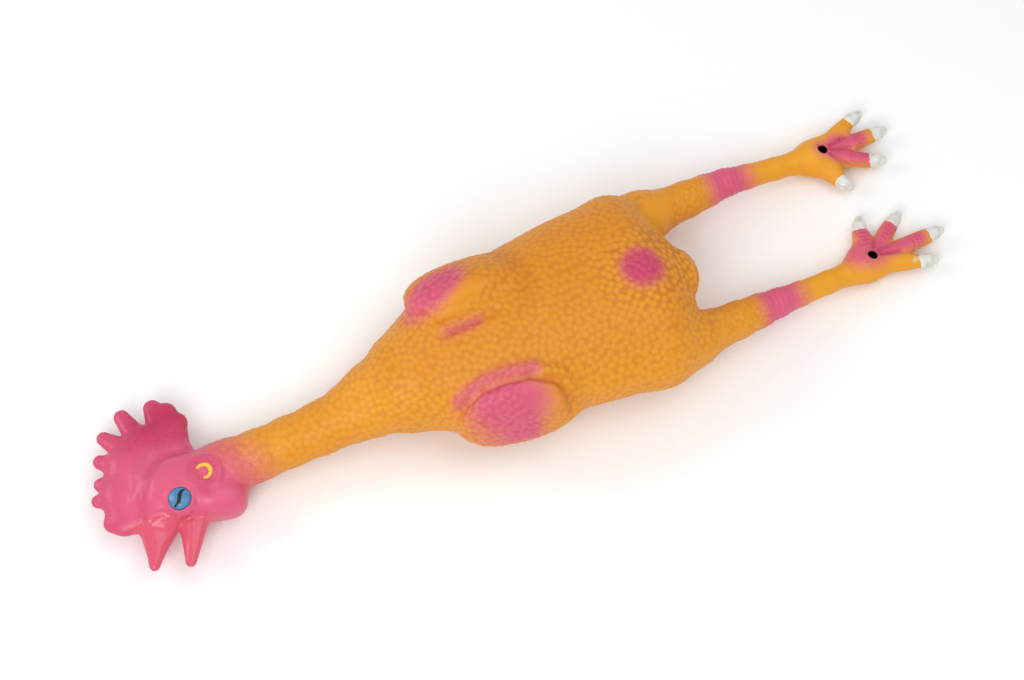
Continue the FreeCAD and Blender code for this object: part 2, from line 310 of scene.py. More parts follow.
def trunk_distance(x, y, z):
    half_width = HALF_WIDTH * trunk_size(x, 1)
    half_height = HALF_HEIGHT * trunk_size(x, 2)
    dz = z - trunk_axis(x)
    ratio = np.sqrt((y / half_width) ** 2 + (dz / half_height) ** 2)
    slope = np.sqrt((y / half_width ** 2) ** 2 + (dz / half_height ** 2) ** 2)
    return ratio * (ratio - 1) / np.maximum(slope, 1e-4)


trunk_reach = np.array([trunk_low[0] - 16, -HALF_WIDTH, -4]), np.array([TAIL_END, HALF_WIDTH, trunk_high[2]])
TRUNK = (trunk_reach[0], trunk_reach[1], trunk_distance)
print("trunk is %.0f mm long and %.0f mm wide" % (TRUNK_LENGTH, 2 * HALF_WIDTH))

# %% Wings, rump, neck and thighs
TRUNK_ROLL = math.radians(21)
WINGS = {  # place along the back, lean, fillet, tilt and half sizes of the right wing and the left wing
    1: (-80.0, math.radians(62), 6.0, 0.0, (34.0, 22.5, 11.5)),
    -1: (-76.0, math.radians(57), 12.0, math.radians(9), (36.0, 27.0, 11.0))}


def wing_frame(sign):
    """A wing's middle on the trunk's surface, and its lean."""
    wing_x, wing_lean = WINGS[sign][:2]
    lean = sign * wing_lean - TRUNK_ROLL
    half_width = HALF_WIDTH * trunk_size(wing_x, 1)
    middle_of_wing = np.array([wing_x, (half_width - 1) * math.sin(lean),
                               AXIS_HEIGHT + (HALF_HEIGHT - 4) * math.cos(lean)])
    return middle_of_wing, -lean


body_steps = []


def join(shape, fillet):
    """Adds a shape to the body, with a fillet of this size to what is there already."""
    body_steps.append(("join", shape, fillet))


def join_line(line, fillet, squash=1.0):
    """Joins tapered bars along a line of places and radii."""
    for (start, start_radius), (end, end_radius) in zip(line, line[1:]):
        join(bar(start, end, start_radius, end_radius, squash), fillet)


join(TRUNK, 2.0)
for sign in SIDES.values():
    centre, lean = wing_frame(sign)
    fillet, tilt, half_sizes = WINGS[sign][2:]
    join(egg(centre, half_sizes, lean, 2.4, tilt), fillet)
RUMP_MIDDLE, RUMP_HALF_SIZES = (37, -4, 46), (24, 22, 17)
join(egg(RUMP_MIDDLE, RUMP_HALF_SIZES), 9.0)

neck_line = [(neck_base + (8, 0, 3), 28.0), (neck_base + (-6, 0, -1), 22.0),
             (neck_base + (-22, -2, -3), 17.4), (neck_middle, 15.2), (neck_middle + (-20, 0, -2), 14.4),
             (neck_top, 14.6), (SKULL + (32, 2, 0), 16.0), (SKULL + (12, 1, 0), 17.0)]
join_line(neck_line, 5.0)

THIGH_STATIONS = [  # share of the way from hip to hock, radius and fillet
    (-0.6, 18.6, 13.0), (-0.2, 15.8, 8.0), (0.1, 12.6, 2.0),
    (0.45, 11.4, 2.0), (0.73, 10.2, 2.0), (1.0, 8.8, 2.0)]
SHANK_STATIONS = [(0.0, 8.8, 2.0), (0.3, 7.7, 2.0), (0.7, 7.1, 2.0), (1.0, 7.2, 2.0)]
for leg in LEGS.values():
    hip, hock, ankle = leg["hip"], leg["hock"], leg["ankle"]
    for start, end, stations in ((hip, hock, THIGH_STATIONS), (hock, ankle, SHANK_STATIONS)):
        for (a, radius_a, fillet), (b, radius_b, _) in zip(stations, stations[1:]):
            join(bar(start + (end - start) * a, start + (end - start) * b, radius_a, radius_b), fillet)
print(len(body_steps), "shapes in the trunk, neck and legs")

# %% [markdown]
# ## The head
# The head lies on its cheek, so its comb points to one side and its beak to the other. The comb is
# a thick plate with fleshy fingers, which a flattened bar draws well: each finger has a root, a tip
# and two radii. A small fillet where the comb meets the skull leaves the groove of the moulding.

# %% Skull, comb, beak and cheek lobes
COMB_THICKNESS = 1.75  # how many times wider than thick each finger is
FLATNESS = 1.1  # the same for the beak, the toes and the claws
COMB_PLATE = [  # a line of offsets from the skull, with radii
    ((6, 33), 10.5), ((-10, 35), 12.0), ((-24, 27), 12.8), ((-33, 10), 12.8), ((-37, -5), 11.0)]
COMB_ROOT = [((7, 21), 9.0), ((-6, 22), 10.5), ((-18, 13), 10.5), ((-25, 0), 10.0), ((-27, -9), 8.5)]
COMB_FINGERS = [  # root, tip, radius at the root, radius at the tip, as offsets from the skull
    ((1, 33), (2, 56), 9.0, 5.6), ((4, 33), (8, 49.5), 9.0, 7.4), ((5, 31), (11.5, 41), 9.0, 7.6),
    ((-12, 38), (-17, 57.5), 8.0, 5.0), ((-22, 36), (-31.5, 48.5), 8.0, 4.6),
    ((-28, 27), (-38.5, 35), 8.0, 4.6), ((-33, 18), (-43, 21), 7.2, 4.4),
    ((-34, 8), (-48, 11.5), 8.0, 4.2), ((-36, -6), (-44.5, -5), 8.6, 5.8)]
BEAK_BARS = [  # the upper beak, then the lower beak: root, tip, two radii and the size of the fillet
    ((-22, -14), (-31, -40.5), 10.0, 2.4, 4.0), ((-14, -19), (-30, -39), 7.0, 2.4, 4.0),
    ((2, -21), (-9.5, -46), 8.6, 2.9, 3.0), ((-5, -22), (-11, -46), 3.6, 2.2, 2.0)]
FACE_EGGS = [  # two for the cheek lobe and one round the eye: offset, height, half sizes and fillet
    ((15, -15), 5, (12, 10.5, 11), 6.0), ((25, -17), 4, (10.5, 11, 10), 5.0),
    ((-3, -13), 10, (9.0, 8.5, 8.3), 3.0)]


def on_head(offset, height=0.0):
    """A point given as an offset from the middle of the skull."""
    return SKULL + np.array([offset[0], offset[1], height])


join(egg(on_head((-4, 0)), (24.5, 22.0, 17.5), 0.0, 2.3), 5.0)
join(bar(on_head((2, 0)), on_head((20, 1)), 18.5, 17.0, 1.05), 4.0)
join(bar(on_head((-18, -4)), on_head((-16, -13)), 11.0, 9.0), 5.0)
join_line([(on_head(offset), radius) for offset, radius in COMB_ROOT], 3.5, 1.05)
join_line([(on_head(offset), radius) for offset, radius in COMB_PLATE], 5.0, COMB_THICKNESS)
for root, tip, root_radius, tip_radius in COMB_FINGERS:
    join(bar(on_head(root), on_head(tip), root_radius, tip_radius, COMB_THICKNESS), 2.2)
for root, tip, root_radius, tip_radius, fillet in BEAK_BARS:
    join(bar(on_head(root), on_head(tip), root_radius, tip_radius, FLATNESS), fillet)
for face in (-1, 1):
    for offset, height, half_sizes, fillet in FACE_EGGS:
        join(egg(on_head(offset, height * face), half_sizes), fillet)
    trough = bar(on_head((3, -27), 9 * face), on_head((-8, -45), 5 * face), 3.4, 1.6)
    body_steps.append(("carve", trough, 1.5))
print(len(COMB_FINGERS), "fingers on the comb")

# %% [markdown]
# ## The feet
# Each foot is a fan of four toes with webs between their roots, soles upwards. A round air hole
# goes into the middle of each sole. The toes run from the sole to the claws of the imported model.

# %% Soles, toes and air holes
TOES = ("hind", "inner", "middle", "outer")
TOE_RADII = {"hind": (7.2, 5.2), "inner": (6.2, 4.9), "middle": (6.2, 5.0), "outer": (6.0, 4.3)}
TOE_START = 0.25  # share of the way from the middle of the sole to the claw
WEB_REACH = 0.6  # share of a toe's length that its web follows
CLAW_BACK = 6.0  # from the middle of a claw back to where its toe ends
HOLE_RADIUS = 3.2
claw_places = {}
for side, leg in LEGS.items():
    ankle, sole = leg["ankle"], leg["sole"]
    palm_start = ankle + (sole - ankle) * 0.5
    join(bar(ankle, palm_start, 7.2, 9.2), 3.0)
    join(egg(sole + (-2, 0, 0), (14.0, 13.0, 8.5)), 7.0)
    for toe in TOES:
        toe_middle, claw_middle = (zone("%s_%s_%s" % (part, side, toe))[2] for part in ("toe", "claw"))
        run = claw_middle - toe_middle
        run[2] = 0
        run /= np.linalg.norm(run)
        claw_middle = claw_middle + run * 1.6 + (0.5, 0, 0.6)
        claw_places[side, toe] = claw_middle, run
        toe_end = claw_middle - run * CLAW_BACK
        root_radius, end_radius = TOE_RADII[toe]
        start = sole + (toe_end - sole) * TOE_START
        join(bar(start, toe_end, root_radius, end_radius, FLATNESS), 3.0)
        if toe in ("hind", "outer"):
            web_end = start + (toe_end - start) * WEB_REACH
            join(bar(palm_start, web_end, 7.5, end_radius, FLATNESS), 5.0)
    body_steps.append(("carve", bar(sole + (0, 0, 3), sole + (0, 0, 30), HOLE_RADIUS, HOLE_RADIUS), 1.0))
table_top = (np.array([-400, -150, 0]), np.array([300, 150, 90]), lambda x, y, z: -z + 0 * x + 0 * y)
body_steps.append(("keep", table_top, 1.5))

CELL = 0.8
skin_points, skin_faces = grow(body_steps, CELL)
skin = mesh_object("skin", skin_points, skin_faces)
print("skin has", len(skin_faces), "faces between", skin_points.min(0).round(), skin_points.max(0).round())

# %% [markdown]
# ## What the skin carries at each point
# Colour and relief both depend on where a point lies on the bird, so each point gets a few numbers:
# how pimpled it is, how far a fold raises it, and how much of each paint was sprayed there. Stored
# on the mesh, they follow the skin when it bends.
# Some of these numbers are painted shade: the darker top and folds, the grooves and the air holes.

# %% Helpers for soft edges
def ramp(low, high, value):
    """0 before low and 1 after high, with soft ends. low may be above high."""
    share = np.clip((value - low) / (high - low), 0, 1)
    return share * share * (3 - 2 * share)


def spot(points, centre, half_sizes, turn=0.0, core=0.5):
    """A sprayed spot seen from above: 1 inside the core share of an ellipse, 0 outside it."""
    dx, dy = points[:, 0] - centre[0], points[:, 1] - centre[1]
    cosine, sine = math.cos(math.radians(turn)), math.sin(math.radians(turn))
    along, across = (dx * cosine + dy * sine) / half_sizes[0], (dy * cosine - dx * sine) / half_sizes[1]
    return ramp(1.0, core, np.hypot(along, across))


def strip(points, path, width, core=0.3):
    """1 on a line seen from above, given as a few points, fading to 0 at width to its side."""
    nearest = np.full(len(points), 1e3)
    for start, end in zip(path, path[1:]):
        start, along = np.array(start, float), np.subtract(end, start).astype(float)
        share = np.clip(((points[:, :2] - start) @ along) / (along @ along), 0, 1)
        gap = points[:, :2] - start - share[:, None] * along
        nearest = np.minimum(nearest, np.hypot(gap[:, 0], gap[:, 1]))
    return ramp(width, width * core, nearest)


def read(elements, key, width=3):
    """One row of numbers for each point or face of a mesh."""
    values = np.empty(len(elements) * width, np.float32)
    elements.foreach_get(key, values)
    return values.reshape(-1, width)


skin_at = read(skin.data.vertices, "co") / MM
x, y, z = skin_at.T
head_offset = skin_at - SKULL
head_x, head_y = head_offset[:, 0], head_offset[:, 1]
side_of = np.where(y > 3, 1, -1)
facing_up = read(skin.data.vertices, "normal")[:, 2]
upper = ramp(-0.1, 0.35, facing_up)
both_faces = ramp(0.15, 0.45, np.abs(facing_up))
off_table = ramp(0.2, 2.2, z)
print("points that look up:", int((upper > 0.5).sum()))

# %% Where the pimples are
WING_SPOTS = [  # middle, half sizes and turn in degrees; the last wraps the left wing's edge
    ((-96, 31), (32, 17), 22), ((-82, -50), (36, 18), -12), ((-78, -61), (19, 15), -12)]
SMOOTH_PATCHES = [((-84, 19), (22, 9), 14), ((-62, -52), (17, 10), -18), ((52, 38), (20, 12), 40)]
RUMP_AREA = ((30, -5), (42, 34))
BOLDNESS, RUMP_BOLDNESS, WING_BOLDNESS, NECK_BOLDNESS = 0.72, 0.35, 0.28, -0.12
past_skull = head_x + 0.44 * np.minimum(head_y, 18) - 28.5
past_skull = np.where((head_y > 24) & (head_x < 30), -20.0, past_skull)
on_skull = ramp(2.5, -2.5, past_skull)
pimpled = (1 - on_skull) * ramp(100, 92, x)
for patch in SMOOTH_PATCHES:
    pimpled = pimpled * (1 - 0.85 * spot(skin_at, *patch) * upper)
fine_share = np.clip(ramp(56, 72, x) + ramp(20, 45, x) * ramp(46, 30, z), 0, 1)
bold = BOLDNESS + RUMP_BOLDNESS * spot(skin_at, *RUMP_AREA) * upper + NECK_BOLDNESS * ramp(-130, -175, x)
for wing_spot in WING_SPOTS[:2]:
    bold += WING_BOLDNESS * spot(skin_at, *wing_spot)
bold = np.clip(bold, 0, 1)
coarse = off_table * pimpled * (1 - fine_share) * bold
fine = 0.6 * off_table * pimpled * fine_share
print("points on the pimpled skin:", int((coarse + fine > 0.1).sum()))

# %% Rings and ridges of the legs
def wave(value, pitch):
    """Rounded ridges one pitch apart: 1 on a ridge and 0 in the groove between two."""
    return 0.5 + 0.5 * np.cos(2 * math.pi * value / pitch)


SHANK_RING, HOCK_RING, HIP_CREASE, HOLE_RIM, TOE_CREASE = 0.12, 0.2, 0.3, 0.35, 0.9  # heights
WIDE_RIDGES, NARROW_RIDGES = (3.1, 0.5), (1.9, 0.42)  # pitch and height
raised, toe_grooves, between_toes = (np.zeros(len(skin_at)) for _ in range(3))
for side, leg in LEGS.items():
    sign = SIDES[side]
    mine = side_of == sign
    hock, ankle, sole, hip = leg["hock"], leg["ankle"], leg["sole"], leg["hip"]
    shank = mine * ramp(hock[0] - 16, hock[0] - 8, x) * ramp(ankle[0] + 6, ankle[0] - 4, x)
    ringed = SHANK_RING + HOCK_RING * ramp(hock[0] + 14, hock[0] + 4, x)
    raised += ringed * shank * wave(x + 0.015 * (y - hock[1]) ** 2, 3.6)
    reach = np.hypot(x - (hip[0] - 22), y - (hip[1] + 26 * sign))
    creased = mine * spot(skin_at, (hip[0] + 2, hip[1] - 8 * sign), (26, 13), 40 * sign)
    raised += HIP_CREASE * creased * upper * wave(reach, 2.3)
    for toe in TOES:
        claw_middle, run = claw_places[side, toe]
        along = (skin_at - claw_middle) @ run
        across = (skin_at - claw_middle) @ np.array([-run[1], run[0], 0])
        on_toe = mine * upper * ramp(-22, -17, along) * ramp(-4, -6, along) * ramp(6.5, 3.5, np.abs(across))
        pitch, height = WIDE_RIDGES if side == "left" and toe != "outer" else NARROW_RIDGES
        ridges = wave(along + 0.04 * across ** 2 + 0.5 * np.sin(across + along / 3), pitch)
        raised += height * on_toe * ridges
        toe_grooves = np.maximum(toe_grooves, on_toe * (1 - ridges))
    rim = np.abs(np.hypot(x - sole[0], y - sole[1]) - HOLE_RADIUS - 1.2)
    raised += HOLE_RIM * mine * upper * ramp(1.6, 0.2, rim)
    places = [claw_places[side, toe][0][:2] for toe in TOES]
    for first, second in zip(places, places[1:]):
        web = (first + second) / 2 - sole[:2]
        web /= np.linalg.norm(web)
        crease = [tuple(sole[:2] + web * 5.5), tuple(sole[:2] + web * 19)]
        between_toes = np.maximum(between_toes, upper * strip(skin_at, crease, 2.4, 0.1))
raised -= TOE_CREASE * between_toes
print("rings and ridges reach %.1f mm" % raised.max())

# %% Folds of the head and of the wings
def beside(path, dx, dy):
    """The same line, moved sideways."""
    return [(px + dx, py + dy) for px, py in path]


EAR, EAR_RADIUS = (15.5, -1.5), 9.6
EYE, EYE_RIM_RADIUS = (-3.0, -12.4), 8.2
MOUTH_LINE = [(-28, -14), (-16, -15), (-8, -19), (2, -23), (7, -24)]
COMB_GROOVE = [(14, 18), (-2, 20), (-15, 11), (-24, -2), (-31, -20)]
EAR_RIM, EYE_RIM, COMB_RIB, BEAK_RIB = 1.5, 0.5, 0.1, 0.15  # heights
EAR_HOLLOW, MOUTH_DEPTH, GROOVE_DEPTH = 0.9, 0.8, 0.8  # depths
ear_distance = np.hypot(head_x - EAR[0], head_y - EAR[1])
ear_angle = np.degrees(np.arctan2(head_y - EAR[1], head_x - EAR[0]))
ear_arc = ramp(110, 55, np.abs(ear_angle - 15))
raised += EAR_RIM * both_faces * ear_arc * ramp(3.6, 0.6, np.abs(ear_distance - EAR_RADIUS))
raised -= EAR_HOLLOW * both_faces * ramp(7.0, 1.0, ear_distance)
fleshy = np.clip(on_skull * ramp(36, 46, np.hypot(head_x - 4, head_y)), 0, 1)
fan_angle = np.degrees(np.arctan2(head_y, head_x - 4))
raised += COMB_RIB * fleshy * both_faces * wave(fan_angle + 2 * np.sin(head_x / 3), 3.4)
beak_root = spot(head_offset, (-20, -11), (14, 8), -20)
raised += BEAK_RIB * beak_root * both_faces * wave(np.hypot(head_x + 40, head_y - 10), 2.4)
raised -= MOUTH_DEPTH * both_faces * strip(head_offset, MOUTH_LINE, 2.8, 0.1)
comb_groove = both_faces * strip(head_offset, COMB_GROOVE, 5.5, 0.1)
raised -= GROOVE_DEPTH * comb_groove
eye_ring = np.hypot((head_x - EYE[0]) / EYE_RIM_RADIUS, (head_y - EYE[1]) / EYE_RIM_RADIUS)
raised += EYE_RIM * both_faces * ramp(0.22, 0.05, np.abs(eye_ring - 1))

RIGHT_CREASE = [(-103, 1), (-85, 1), (-68, 3)]
LEFT_CREASE = [(-108, -40), (-94, -37), (-78, -37), (-62, -40), (-48, -48), (-42, -62)]
WING_FOLDS = [  # line, height, width and core of each groove or lip beside a wing
    (RIGHT_CREASE, -1.5, 4.5, 0.1), (beside(RIGHT_CREASE, 0, 5), 0.7, 5.0, 0.3),
    (beside(LEFT_CREASE, -1, -1), -3.0, 5.5, 0.1), (beside(LEFT_CREASE[:5], 1.5, 3.5), 1.6, 5.5, 0.3)]
for path, height, width, core in WING_FOLDS:
    raised += height * upper * strip(skin_at, path, width, core)
raised = off_table * raised
print("relief runs from %.1f to %.1f mm" % (raised.min(), raised.max()))

# %% Where the pink is
TOE_PINK = {  # how far the pink reaches along each toe
    ("left", "hind"): 0.85, ("left", "inner"): 0.75, ("left", "middle"): 0.72,
    ("right", "inner"): 0.8, ("right", "middle"): 0.65}
PALM_PINK = {  # offset from the sole, and half sizes
    "left": ((-1, 4, 0), (25, 17)), "right": ((12, 1, 0), (12, 11))}
PINK_FOLDS = [  # line, strength and width of the pink beside each wing
    (beside(LEFT_CREASE[:4], 1, 3), 0.75, 9), (beside(RIGHT_CREASE[:2], 4, 0), 0.4, 9)]


def layered(*sprays):
    """Sprays and painted shade on top of each other: the strongest one counts at each point."""
    return np.maximum.reduce(sprays)


pink = layered(on_skull, 0.85 * ramp(34, -2, past_skull))
sprayed_side = ramp(-0.75, -0.35, facing_up) * ramp(16, 36, z)
for wing_spot in WING_SPOTS:
    pink = layered(pink, sprayed_side * spot(skin_at, *wing_spot, 0.35))
for path, strength, width in PINK_FOLDS:
    pink = layered(pink, strength * upper * strip(skin_at, path, width, 0.0))
rump_spot = spot(skin_at, (24, -4), (18, 17.5), 0, 0.35) * upper
pink = layered(pink, rump_spot)
for side, leg in LEGS.items():
    mine = side_of == SIDES[side]
    hock, sole = leg["hock"], leg["sole"]
    hock_band = ramp(hock[0] - 21, hock[0] - 6, x) * ramp(hock[0] + 26, hock[0] + 6, x)
    offset, half_sizes = PALM_PINK[side]
    palm = spot(skin_at, sole + offset, half_sizes, 0, 0.35)
    pink = layered(pink, mine * hock_band, 0.9 * mine * upper * palm)
    for toe in TOES:
        if (side, toe) in TOE_PINK:
            pink_end = sole + (claw_places[side, toe][0] - sole) * TOE_PINK[side, toe]
            toe_line = strip(skin_at, [tuple(sole[:2]), tuple(pink_end[:2])], 9.5, 0.05)
            pink = layered(pink, mine * upper * toe_line)
print("share of the skin in pink: %.2f" % (pink > 0.5).mean())

# %% Where the other paints and the painted shade are
beak_edge = np.interp(head_x, [px for px, _ in MOUTH_LINE], [py for _, py in MOUTH_LINE])
in_reach = ramp(-35.5, -33, head_x) * ramp(13, 5, head_x)
beak = in_reach * ramp(0.8, -0.8, head_y - beak_edge) * on_skull

comb_paint = np.clip(0.7 * spot(head_offset, (3, 38), (38, 34), 0, 0.2) + 0.25 * fleshy, 0, 1)
comb_paint = comb_paint * ramp(17, 36, np.hypot(head_x + 2, head_y)) * on_skull
ear_shadow = 0.35 * both_faces * ramp(6, 1, np.abs(ear_distance - 6.5)) * on_skull
cheek_shadow = 0.35 * both_faces * spot(head_offset, (12, -12), (10, 5), -50, 0.1)
crease_red = 0.4 * upper * strip(skin_at, beside(RIGHT_CREASE[:2], 5, 0), 4, 0.0)
# the crimson in the groove round the comb is painted shade, like the ear and cheek shadows; the rest is real
# paint
crimson = layered(0.55 * rump_spot, crease_red, comb_paint, 0.3 * comb_groove, ear_shadow, cheek_shadow)
crimson = np.clip(crimson, 0, 1) * (1 - beak)
for side, leg in LEGS.items():
    for toe in ("inner", "middle"):
        line = [tuple(leg["sole"][:2]), tuple(claw_places[side, toe][0][:2])]
        toe_red = 0.12 * upper * (side_of == SIDES[side]) * strip(skin_at, line, 5, 0.2)
        crimson = layered(crimson, toe_red)
# painted shade: darker crimson in the creases between the toes and in the grooves between the toe ridges
crimson = layered(crimson, 0.7 * between_toes * pink, 0.45 * toe_grooves * pink)

SHADED_LINES = [  # line, strength and width of the painted shade in darker orange: saddle, left fold, right crease
    ([(-50, 42), (-42, 20), (-48, 2)], 1.0, 16), (beside(LEFT_CREASE[3:], -3, -2), 1.0, 9),
    (RIGHT_CREASE, 0.8, 8)]
# painted shade in darker orange: the top of the trunk, which is turned from the light, and below it the
# saddle and folds; partly it is also the darker overspray of the real toy
shade = 0.55 * ramp(48, 70, z) * (1 - on_skull)
for path, strength, width in SHADED_LINES:
    shade = layered(shade, strength * upper * strip(skin_at, path, width, 0.1))

outer_claw, outer_run = claw_places["left", "outer"]
worn = upper * spot(skin_at, outer_claw - outer_run * 9, (4.5, 2.2), 20, 0.2)
# painted shade: the inside of each air hole is near black, as no light gets in
hollow = np.zeros(len(skin_at))
for leg in LEGS.values():
    inside = np.hypot(x - leg["sole"][0], y - leg["sole"][1]) < HOLE_RADIUS + 0.9
    hollow = layered(hollow, inside * ramp(16.6, 15.6, z) * (z > 2))

SKIN_NUMBERS = {
    "pimple_coarse": coarse, "pimple_fine": fine, "raise_mm": raised, "pink": pink, "crimson": crimson,
    "shade": shade, "beak": beak, "worn": worn, "hollow": hollow, "gloss": on_skull}
for name, values in SKIN_NUMBERS.items():
    skin.data.attributes.new(name, "FLOAT", "POINT").data.foreach_set("value", values.astype(np.float32))
rest_place = skin.data.attributes.new("rest_place", "FLOAT_VECTOR", "POINT")
rest_place.data.foreach_set("vector", (skin_at * MM).astype(np.float32).ravel())
print("numbers on the skin:", ", ".join(SKIN_NUMBERS))

# %% [markdown]
# ## Pimples
# A plucked chicken's skin is all small beads, several thousand of them. Geometry Nodes scatters
# points on the skin with a least spacing, finds the nearest one for each vertex, and raises the
# vertex on a dome round it. Thighs and lower flanks get a finer set of beads than the back.

# %% A node tree that grows beads
tree = bpy.data.node_groups.new("pimpled_skin", "GeometryNodeTree")
socket_ids = {}


def tree_input(name, kind, value):
    socket = tree.interface.new_socket(name, in_out="INPUT", socket_type=kind)
    if value is not None:
        socket.default_value = value
    socket_ids[name] = socket.identifier


tree_input("Geometry", "NodeSocketGeometry", None)
tree_input("Coarse spacing", "NodeSocketFloat", 0.0039)
tree_input("Fine spacing", "NodeSocketFloat", 0.0027)
tree_input("Bead height", "NodeSocketFloat", 0.2)
tree_input("Seed", "NodeSocketInt", 7)
tree_input("Skin", "NodeSocketMaterial", None)
tree.interface.new_socket("Geometry", in_out="OUTPUT", socket_type="NodeSocketGeometry")
nodes, links = tree.nodes, tree.links
given, result = nodes.new("NodeGroupInput"), nodes.new("NodeGroupOutput")


def feed(wires, socket, value):
    """Gives a node's input a wire from another node, or a plain value."""
    if isinstance(value, bpy.types.NodeSocket):
        wires.new(value, socket)
    else:
        socket.default_value = value


def math_node(parts, wires, operation, first, second=0.0, clamp=False):
    """A math node fed by sockets or plain numbers. It returns its output socket."""
    node = parts.new("ShaderNodeMath")
    node.operation, node.use_clamp = operation, clamp
    feed(wires, node.inputs[0], first)
    feed(wires, node.inputs[1], second)
    return node.outputs[0]


def calculate(*what):
    return math_node(nodes, links, *what)


def add_node(kind, inputs=None, **settings):
    """A node of the tree with its settings made and its inputs fed."""
    node = nodes.new(kind)
    for key, value in settings.items():
        setattr(node, key, value)
    for name, value in (inputs or {}).items():
        feed(links, node.inputs[name], value)
    return node


def named(attribute):
    node = add_node("GeometryNodeInputNamedAttribute", {"Name": attribute}, data_type="FLOAT")
    return node.outputs["Attribute"]


place = add_node("GeometryNodeInputPosition").outputs[0]
BEAD_RADIUS = 0.62  # as a share of the spacing


def beads(spacing, amount):
    """Dome heights round scattered points: 1 on top of a bead and 0 between beads."""
    where = {"Mesh": given.outputs["Geometry"], "Selection": calculate("GREATER_THAN", amount, 0.03),
             "Distance Min": spacing, "Seed": given.outputs["Seed"], "Density Max": 600000}
    scatter = add_node("GeometryNodeDistributePointsOnFaces", where, distribute_method="POISSON")
    scattered = scatter.outputs["Points"]
    nearest = add_node("GeometryNodeSampleNearest", {"Geometry": scattered}, domain="POINT")
    sample = {"Geometry": scattered, "Value": place, "Index": nearest.outputs["Index"]}
    bead_place = add_node("GeometryNodeSampleIndex", sample, data_type="FLOAT_VECTOR", domain="POINT")
    gap = add_node("ShaderNodeVectorMath", {0: place, 1: bead_place.outputs[0]}, operation="DISTANCE")
    share = calculate("DIVIDE", gap.outputs["Value"], calculate("MULTIPLY", spacing, BEAD_RADIUS))
    below_top = calculate("SUBTRACT", 1.0, calculate("POWER", share, 2.0))
    dome = calculate("MULTIPLY", calculate("SQRT", calculate("MAXIMUM", below_top, 0.0)), amount)
    height = calculate("MULTIPLY", dome, given.outputs["Bead height"])
    return dome, calculate("MULTIPLY", height, spacing)


coarse_dome, coarse_height = beads(given.outputs["Coarse spacing"], named("pimple_coarse"))
fine_dome, fine_height = beads(given.outputs["Fine spacing"], named("pimple_fine"))
fold = calculate("MULTIPLY", named("raise_mm"), MM)
lift = calculate("ADD", fold, calculate("ADD", coarse_height, fine_height))
normal = add_node("GeometryNodeInputNormal").outputs[0]
push = add_node("ShaderNodeVectorMath", {0: normal, "Scale": lift}, operation="SCALE")
# the dome height is kept as bead, so that the material can paint shade into the valleys between beads
bead_numbers = {"Geometry": given.outputs["Geometry"], "Name": "bead",
                "Value": calculate("MAXIMUM", coarse_dome, fine_dome)}
keep_dome = add_node("GeometryNodeStoreNamedAttribute", bead_numbers, data_type="FLOAT", domain="POINT")
move = add_node("GeometryNodeSetPosition", {"Geometry": keep_dome.outputs[0], "Offset": push.outputs[0]})
realize = add_node("GeometryNodeRealizeInstances", {0: move.outputs[0]})
coat = {"Geometry": realize.outputs[0], "Material": given.outputs["Skin"]}
paint = add_node("GeometryNodeSetMaterial", coat)
links.new(paint.outputs[0], result.inputs[0])
print("the tree has", len(nodes), "nodes")

# %% [markdown]
# ## Sprayed vinyl
# The moulding is orange vinyl with pink and crimson mist from an air brush, so colours fade into
# each other. The body is satin and the painted head is glossy. One material mixes the paints by the
# numbers on the skin, and noise in the skin's own place breaks each edge up as mist does.
# It also paints shade into the colour: darker valleys between beads, a darker top, darker folds and grooves,
# and near black air holes.

# %% The material of the skin
def material(name):
    made = bpy.data.materials.new(name)
    made.use_nodes = True
    return made, made.node_tree.nodes, made.node_tree.links, made.node_tree.nodes["Principled BSDF"]


def mix_colour(parts, wires, factor, first, second):
    """Mixes two colours, or a socket and a colour, by a factor socket."""
    mix = parts.new("ShaderNodeMix")
    mix.data_type = "RGBA"
    wires.new(factor, mix.inputs["Factor"])
    for socket, value in ((mix.inputs[6], first), (mix.inputs[7], second)):
        feed(wires, socket, (*value, 1.0) if isinstance(value, tuple) else value)
    return mix.outputs[2]


# the darkest orange and the dark pink are painted shade for the valleys between beads; the deep orange is
# both a random tone and painted shade on the top of the trunk and along the folds
ORANGE, DEEP_ORANGE, VALLEY_SHADE_ORANGE = (0.80, 0.345, 0.014), (0.68, 0.235, 0.008), (0.50, 0.13, 0.004)
PALE_ORANGE = (0.80, 0.52, 0.22)
PINK, VALLEY_SHADE_PINK = (0.66, 0.095, 0.185), (0.44, 0.045, 0.08)
CRIMSON, CORAL = (0.46, 0.022, 0.085), (0.66, 0.088, 0.145)


